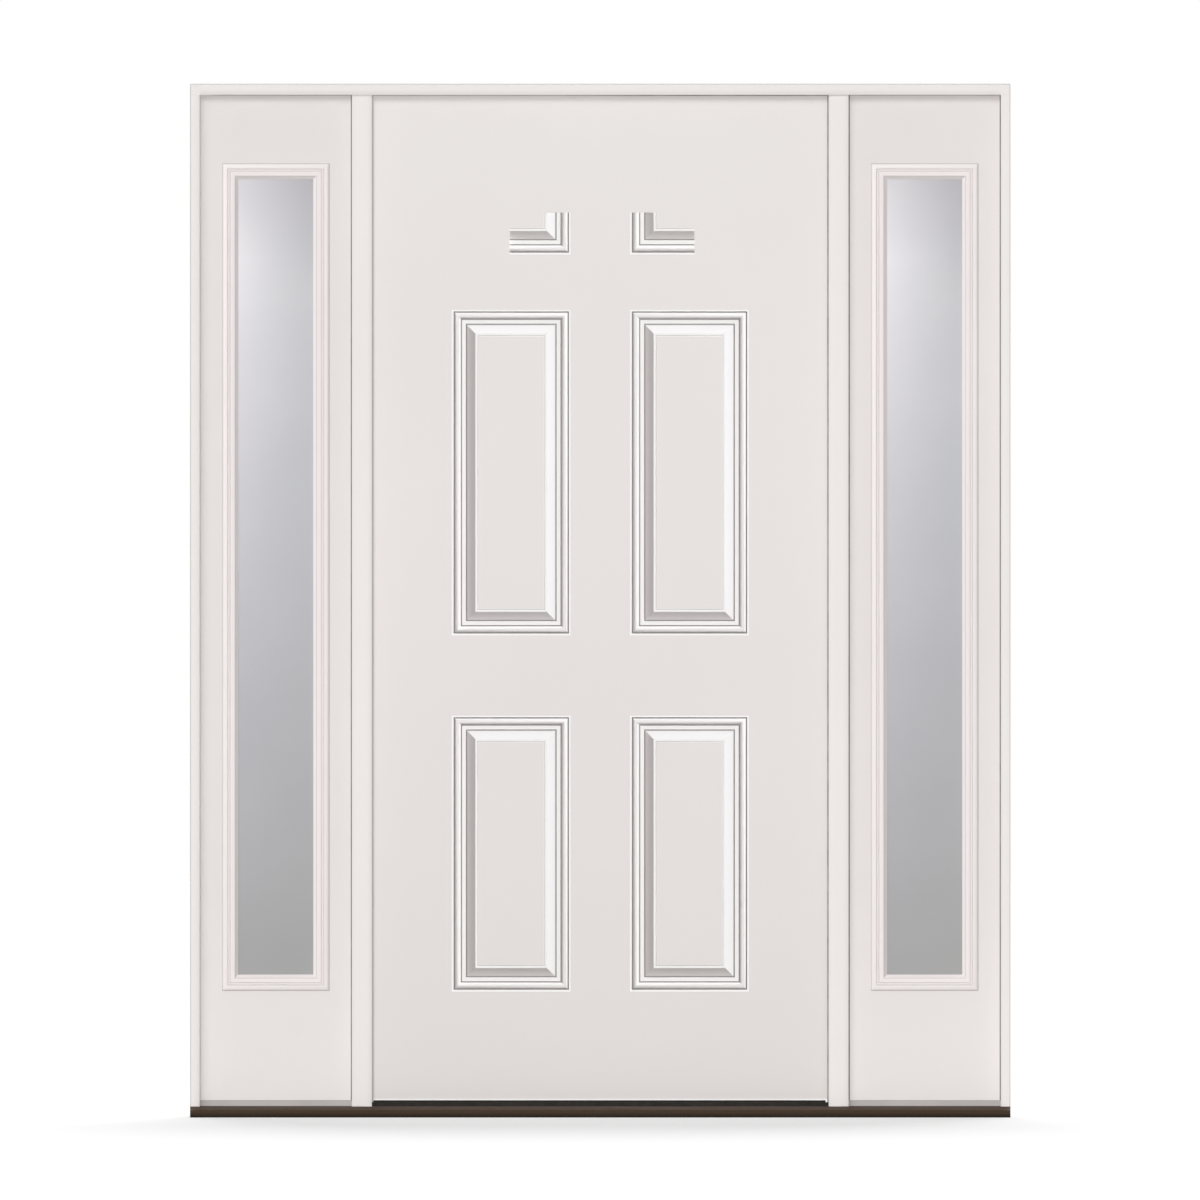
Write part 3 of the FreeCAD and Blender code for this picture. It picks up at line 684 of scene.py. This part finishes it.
# Painted shade: the sill darkens towards its foot
SILL_SHADED_TONES = ((0.0, "0d0704"), (0.45, "3f3226"), (0.72, "46372a"), (1.0, "48382a"))
SILL_WEAR_AND_HIGHLIGHT = "9a8c80"
SILL_EDGE = 1.2 * MM
EDGE_LIKENESS = (0.80, 0.99)
EDGE_SAMPLES = 6
DRAWN = (0.01, 1, 1)
DRAWN_VEIL = ((0.9, 0.9, 0.9, 1), (1.1, 1.09, 1.08, 1))
DRAWN_GLOSS = (0.02, 1, 1)


def edge_mask(finish, radius):
    """Give 1 near sharp edges and 0 elsewhere."""
    rounded = finish.node("ShaderNodeBevel", {"Radius": radius}, samples=EDGE_SAMPLES).outputs[0]
    flat = finish.node("ShaderNodeNewGeometry").outputs["Normal"]
    likeness = finish.node("ShaderNodeVectorMath", {0: rounded, 1: flat}, operation="DOT_PRODUCT")
    return finish.spread(likeness.outputs["Value"], 1.0, 0.0, *EDGE_LIKENESS)


def bronze():
    """Bronze anodised sill: drawn streaks, painted shade darker to the foot, and worn edges that also
    carry a painted highlight.
    """
    finish = Finish("bronze_anodised", {SPECULAR: 0.06})
    tone = finish.ramp(finish.spread(finish.axis("Z"), 0.0, 1.0, *SILL_SPAN), SILL_SHADED_TONES)
    tone = finish.veiled(tone, finish.cloud(scale=500, detail=4.0, stretch=DRAWN), *DRAWN_VEIL)
    patchy = finish.spread(finish.noise(scale=60, detail=4.0), 0.1, 0.6)
    # Worn edges, which also give a painted highlight along the nose
    wear_and_highlight = finish.combine("MULTIPLY", edge_mask(finish, SILL_EDGE), patchy)
    finish.drive("Base Color", finish.blend(wear_and_highlight, tone, SILL_WEAR_AND_HIGHLIGHT))
    finish.roughen(low=0.44, high=0.58, scale=300, stretch=DRAWN_GLOSS)
    finish.bump(finish.noise(scale=900, detail=3.0, stretch=DRAWN), strength=0.15, depth=0.2 * MM)
    return finish.material


def rubber(name, tone, lighter_tone=None, lighter_span=None):
    """Extruded rubber with a dull bloom and fine pores; given a lighter tone, it takes that to the left
    of a span along X, and its darker tone there is painted shade in a joint.
    """
    finish = Finish(name, {SPECULAR: 0.2})
    bloom = finish.cloud(scale=35, detail=4.0)
    tinted = finish.mottled(bloom, tone, darkest=0.85, lightest=1.2)
    if lighter_tone:
        tinted = finish.blend(finish.spread(finish.axis("X"), 0.0, 1.0, *lighter_span), lighter_tone, tinted)
    finish.drive("Base Color", tinted)
    finish.roughen(low=0.55, high=0.75, scale=80)
    finish.bump(finish.noise(scale=1200, detail=3.0), strength=0.25, depth=0.2 * MM)
    return finish.material


TIMBER_VEIL = ((0.92, 0.91, 0.9, 1), (1.04, 1.04, 1.03, 1))


def timber(name, dark, light, along):
    """Planed timber: long grain, growth bands and pores."""
    finish = Finish(name, {SPECULAR: 0.3})
    bands = finish.noise(scale=60, detail=5.0, stretch=along)
    fibre = finish.noise(scale=700, detail=3.0, stretch=along)
    tone = finish.blend(finish.spread(bands, 0.0, 1.0), dark, light)
    finish.drive("Base Color", finish.veiled(tone, finish.spread(fibre, 0.0, 1.0), *TIMBER_VEIL))
    finish.drive("Roughness", finish.spread(fibre, 0.5, 0.66))
    finish.bump(bands, strength=0.12, depth=0.4 * MM)
    finish.bump(fibre, strength=0.2, depth=0.2 * MM)
    return finish.material


def metal(name, tone, along, low=0.26, high=0.42):
    """Brushed metal with fine lines along an axis, and smudges."""
    finish = Finish(name, {"Metallic": 1.0})
    lines = finish.noise(scale=1500, detail=3.0, stretch=along)
    sheen = finish.spread(lines, 0.0, 1.0)
    finish.drive("Base Color", finish.mottled(sheen, tone, darkest=0.9, lightest=1.06))
    finish.roughen(low, high, scale=30)
    finish.bump(lines, strength=0.12, depth=0.1 * MM)
    return finish.material


def plastic(name, tone):
    """Moulded plastic with a fine matt texture."""
    finish = Finish(name, {SPECULAR: 0.4})
    cloud = finish.cloud(scale=14, detail=3.0)
    finish.drive("Base Color", finish.mottled(cloud, tone, darkest=0.95, lightest=1.04))
    finish.roughen(low=0.45, high=0.6, scale=60)
    finish.bump(finish.noise(scale=1400, detail=2.0), strength=0.15, depth=0.2 * MM)
    return finish.material


FOAM_CELLS = 900.0
CELL_SPAN = (0.0, 0.6)


def foam():
    """Closed-cell foam."""
    finish = Finish("foam_core", {SPECULAR: 0.2})
    cells = finish.node("ShaderNodeTexVoronoi", {"Vector": finish.place, "Scale": FOAM_CELLS}).outputs[0]
    finish.drive("Base Color", finish.blend(finish.spread(cells, 0.0, 1.0, *CELL_SPAN),
                                            "cdbb8c", "eadfb9"))
    finish.drive("Roughness", finish.spread(cells, 0.75, 0.95, *CELL_SPAN))
    finish.bump(cells, strength=0.5, depth=0.8 * MM)
    return finish.material


FRAME_TONE = "ebe6e4"
# The door's tones are painted shade: darker towards the leaf's foot
DOOR_TONES = ((0.0, "e2ddda"), (0.55, "e8e2e1"), (1.0, "e9e5e2"))
# The sidelights' tones are painted light: lighter at their foot, against the shade there
SIDELIGHT_TONES = ((0.0, "e8e3e1"), (0.22, "e1dcda"))

upright_paint = painted("frame_paint_upright", FRAME_TONE, grain=ALONG_Z)
level_paint = painted("frame_paint_level", FRAME_TONE, grain=ALONG_X)
door_paint = painted("door_paint", DOOR_TONES, hollow_shade=0.95, slope_light=True)
# Painted highlight for the leaf's hem and the bands round its mouldings
highlight_paint = painted("door_paint_highlight", HIGHLIGHT_TONE)
sidelight_paint = painted("sidelight_paint", SIDELIGHT_TONES)
# The inserts get painted shade and highlights from their mesh's shade
insert_paint = painted("lite_frame_plastic", "ebe4e3", hollow_shade=0.5)
glass = satin_glass()
bronze_sill = bronze()
black_rubber = rubber("black_rubber", "1f1b17")
# The weatherstrip is darker right of the door's centre: painted shade in the gap
grey_seal = rubber("grey_seal", "9c9794", lighter_tone="c2bdba", lighter_span=(-0.1, 0.1))
# The sealant is darker everywhere but beside the left jamb: painted shade in the joints
bead_sealant = rubber("grey_sealant", "857f7d", lighter_tone="e0dbd9", lighter_span=(-0.79, -0.76))
# The filler is light grey plastic; its darker tone is painted shade under the sidelight
grey_filler = plastic("grey_filler", "b8b4b2")
plug_plastic = plastic("plug_plastic", "e2dad9")
stile_timber = timber("edge_timber_upright", "c9b79c", "e3d6c0", ALONG_Z)
rail_timber = timber("edge_timber_level", "a39179", "bdae96", ALONG_X)
sill_timber = timber("sill_timber", "5b4331", "86684c", ALONG_X)
hinge_steel = metal("hinge_steel", "c9c5bf", along=(1, 1, 0.02))
screw_steel = metal("screw_steel", "b9b6b1", along=(1, 0.2, 0.2), low=0.2, high=0.32)
spacer_metal = metal("spacer_metal", "cfd1d2", ALONG_Z)
core_foam = foam()


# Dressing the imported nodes
def smooth_group():
    """Make a modifier group that shades smooth up to the sharp angle."""
    group = bpy.data.node_groups.new("smooth_to_angle", "GeometryNodeTree")
    for way in ("INPUT", "OUTPUT"):
        group.interface.new_socket("Geometry", in_out=way, socket_type="NodeSocketGeometry")
    start = group.nodes.new("NodeGroupInput")
    end = group.nodes.new("NodeGroupOutput")
    angle = group.nodes.new("GeometryNodeInputMeshEdgeAngle")
    sharp = group.nodes.new("FunctionNodeCompare")
    sharp.operation = "GREATER_THAN"
    sharp.inputs["B"].default_value = SHARP_ANGLE
    normal = group.nodes.new("GeometryNodeSetMeshNormal")
    group.links.new(angle.outputs["Unsigned Angle"], sharp.inputs["A"])
    group.links.new(start.outputs[0], normal.inputs["Mesh"])
    group.links.new(sharp.outputs[0], normal.inputs["Edge Sharpness"])
    group.links.new(normal.outputs[0], end.inputs[0])
    return group


smooth_to_angle = smooth_group()


def soften(node, width):
    """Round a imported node's sharp edges a little and shade it smooth."""
    piece = nodes[node]
    weld = piece.modifiers.new("weld", "WELD")
    weld.merge_threshold = WELD_REACH
    if width:
        bevel = piece.modifiers.new("eased", "BEVEL")
        bevel.width = width
        bevel.segments = EASE_SEGMENTS
        bevel.limit_method = "ANGLE"
        bevel.angle_limit = EASE_ANGLE
    smooth = piece.modifiers.new("smooth", "NODES")
    smooth.node_group = smooth_to_angle
    weighted = piece.modifiers.new("flat_faces", "WEIGHTED_NORMAL")
    weighted.keep_sharp = True


def dress(node, finish, width=EASE):
    """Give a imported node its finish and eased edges."""
    for place in nodes[node].material_slots:
        place.material = finish
    soften(node, width)


dress("head_jamb", level_paint)
dress("sill_cover", bronze_sill, SILL_EASE)
dress("sill_base", sill_timber)
dress("threshold_bumper", black_rubber)
dress("door_weatherstrip", grey_seal, THIN_EASE)
dress("door_hinge_stile", stile_timber)
dress("door_latch_stile", stile_timber)
dress("door_top_rail", rail_timber)
dress("door_bottom_rail", rail_timber)
dress("door_foam_core", core_foam, NO_EASE)
dress("door_sweep", black_rubber, THIN_EASE)
for hinge in HINGES:
    dress(f"{hinge}_jamb_leaf", hinge_steel, THIN_EASE)
    dress(f"{hinge}_door_leaf", hinge_steel, THIN_EASE)
    dress(f"{hinge}_pin", hinge_steel, SMALL_EASE)
    install(hinge_screws(f"{hinge}_jamb_leaf", JAMB_SIDE), "frame", "hinge_steel", screw_steel)
    install(hinge_screws(f"{hinge}_door_leaf", DOOR_SIDE), "leaf", "hinge_steel", screw_steel)

hinge_notches = []
for hinge in reversed(HINGES):
    low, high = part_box(f"{hinge}_door_leaf")
    hinge_notches.append((low.z / MM, high.z / MM, HINGE_NOTCH / MM))
install(door_skin("door_outer_skin", OUTSIDE), "leaf", "door_paint", door_paint, highlight_paint,
        replaced=["door_outer_skin"])
install(door_skin("door_inner_skin", INSIDE, hinge_notches), "leaf", "door_paint", door_paint,
        highlight_paint, replaced=["door_inner_skin"])

for name, side in SIDES.items():
    dress(f"{name}_jamb", upright_paint)
    dress(f"{name}_mullion", upright_paint)
    dress(f"{name}_sidelight_filler", grey_filler)
    dress(f"{name}_sidelight_outer_skin", sidelight_paint, THIN_EASE)
    dress(f"{name}_sidelight_inner_skin", sidelight_paint, THIN_EASE)
    dress(f"{name}_sidelight_frame", stile_timber)
    dress(f"{name}_outer_pane", glass, SMALL_EASE)
    dress(f"{name}_inner_pane", glass, SMALL_EASE)
    dress(f"{name}_glazing_spacer", spacer_metal, SMALL_EASE)
    for place, facing in (("outer", OUTSIDE), ("inner", INSIDE)):
        node = f"{name}_{place}_lite_frame"
        install(lite_insert(node, facing), "frame", "lite_frame", insert_paint, replaced=[node])
    install(insert_plugs(f"{name}_inner_lite_frame"), "frame", "lite_frame", plug_plastic)
    install(sealant_bead(name, side), "frame", "frame_paint", bead_sealant)


# Stage, light and camera
scene = bpy.context.scene
scene.view_settings.view_transform = "Standard"
leaf_names = {piece.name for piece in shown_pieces() if body_of(piece) == ["leaf"]}


def gather(name, wanted):
    """Put the wanted pieces in a collection for light linking."""
    group = bpy.data.collections.new(name)
    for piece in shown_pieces():
        if wanted(piece.name):
            group.objects.link(piece)
    return group


pieces = gather("pieces", lambda name: True)
leaf_pieces = gather("leaf_pieces", lambda name: name in leaf_names)
frame_pieces = gather("frame_pieces", lambda name: name not in leaf_names)
glazing = gather("glazing", lambda name: "lite_frame" in name or "pane" in name)
surround = gather("surround", lambda name: name not in leaf_names and name not in glazing.objects)
hidden_pieces = gather("hidden_pieces", lambda name: "spacer" in name)
casters = gather("casters", lambda name: "skin" not in name and "lite_frame" not in name)

# Suns: azimuth and elevation in degrees, share of plain light on an upright face at azimuth 0
# or 180, angle in degrees, and the pieces that receive the light and that block it
SUNS = {
    "key_on_leaf": (62, 36, 0.40, 12, leaf_pieces, hidden_pieces),
    "top_on_leaf": (-9, 20, 0.28, 16, leaf_pieces, casters),
    "top_on_frame": (-4, 20, 0.21, 16, frame_pieces, casters),
    "soft_on_frame": (-20, 14, 0.16, 28, frame_pieces, casters),
    "front_on_surround": (0, 10, 0.29, 14, surround, hidden_pieces),
    "side_on_glazing": (-30, 13, 0.34, 16, glazing, hidden_pieces),
    "rear": (176, 60, 0.56, 34, None, None),
    "left_end": (-100, 5, 0.08, 30, pieces, casters),
    "right_end": (100, 5, 0.08, 30, frame_pieces, casters),
}
DOME = 0.28


def make_sun(name, azimuth, elevation, share, angle, receivers, blockers):
    """Add a soft sun, for all pieces or for some."""
    across, up = math.radians(azimuth), math.radians(elevation)
    towards = Vector((math.cos(up) * math.sin(across), -math.cos(up) * math.cos(across),
                      math.sin(up)))
    light = bpy.data.lights.new(name, "SUN")
    light.energy = share * math.pi / abs(towards.y)
    light.angle = math.radians(angle)
    lamp = bpy.data.objects.new(name, light)
    lamp.rotation_euler = towards.to_track_quat("Z", "Y").to_euler()
    scene.collection.objects.link(lamp)
    if receivers:
        lamp.light_linking.receiver_collection = receivers
    if blockers:
        lamp.light_linking.blocker_collection = blockers


def background_rays(tree):
    """Give 1 for the rays that should meet the white background, and 0 for the rest."""
    path = tree.nodes.new("ShaderNodeLightPath")
    value = path.outputs["Is Camera Ray"]
    for kind in ("Is Glossy Ray", "Is Transmission Ray"):
        either = tree.nodes.new("ShaderNodeMath")
        either.operation = "MAXIMUM"
        tree.links.new(value, either.inputs[0])
        tree.links.new(path.outputs[kind], either.inputs[1])
        value = either.outputs[0]
    return value


def show_to_background(tree, plain, shown, output):
    """Send one shader to the background rays and a plain one to the rest."""
    mix = tree.nodes.new("ShaderNodeMixShader")
    tree.links.new(background_rays(tree), mix.inputs[0])
    tree.links.new(plain.outputs[0], mix.inputs[1])
    tree.links.new(shown.outputs[0], mix.inputs[2])
    tree.links.new(mix.outputs[0], tree.nodes[output].inputs["Surface"])


def make_world():
    """White for the camera and for reflections, a soft dome for the rest."""
    world = bpy.data.worlds.new("studio")
    world.use_nodes = True
    tree = world.node_tree
    dome = tree.nodes["Background"]
    dome.inputs["Color"].default_value = WHITE
    dome.inputs["Strength"].default_value = DOME
    white = tree.nodes.new("ShaderNodeBackground")
    white.inputs["Color"].default_value = WHITE
    white.inputs["Strength"].default_value = 1.0
    show_to_background(tree, dome, white, "World Output")
    scene.world = world


FLOOR_TONE = 0.34
FLOOR_GLOW = 0.62
FLOOR_REACH = 15.0


def make_floor():
    """A plain pale floor that keeps the object's shadow."""
    mesh = bpy.data.meshes.new("floor")
    corners = rectangle(-FLOOR_REACH, FLOOR_REACH, -FLOOR_REACH, FLOOR_REACH)
    mesh.from_pydata([(x, y, 0) for x, y in corners], [], [(0, 1, 2, 3)])
    floor = bpy.data.objects.new("floor", mesh)
    scene.collection.objects.link(floor)
    material = bpy.data.materials.new("floor_white")
    material.use_nodes = True
    tree = material.node_tree
    tree.nodes.remove(tree.nodes["Principled BSDF"])
    matt = tree.nodes.new("ShaderNodeBsdfDiffuse")
    matt.inputs["Color"].default_value = (FLOOR_TONE, FLOOR_TONE, FLOOR_TONE, 1)
    glow = tree.nodes.new("ShaderNodeEmission")
    glow.inputs["Strength"].default_value = FLOOR_GLOW
    seen = tree.nodes.new("ShaderNodeAddShader")
    tree.links.new(matt.outputs[0], seen.inputs[0])
    tree.links.new(glow.outputs[0], seen.inputs[1])
    bounce = tree.nodes.new("ShaderNodeEmission")
    bounce.inputs["Strength"].default_value = DOME
    show_to_background(tree, bounce, seen, "Material Output")
    mesh.materials.append(material)


VIEW_WIDTH = 2.406
VIEW_CENTRE = Vector((-0.0005, -0.02, 1.0366))
VIEW_ELEVATION = math.radians(1.8)
VIEW_DISTANCE = 6.0


def make_camera():
    """A camera square to the front, a little above level."""
    data = bpy.data.cameras.new("camera")
    data.type = "ORTHO"
    data.ortho_scale = VIEW_WIDTH
    camera = bpy.data.objects.new("camera", data)
    back = Vector((0, -math.cos(VIEW_ELEVATION), math.sin(VIEW_ELEVATION)))
    camera.location = VIEW_CENTRE + back * VIEW_DISTANCE
    camera.rotation_euler = (math.pi / 2 - VIEW_ELEVATION, 0, 0)
    scene.collection.objects.link(camera)
    scene.camera = camera


for name, settings in SUNS.items():
    make_sun(name, *settings)
make_world()
make_floor()
make_camera()
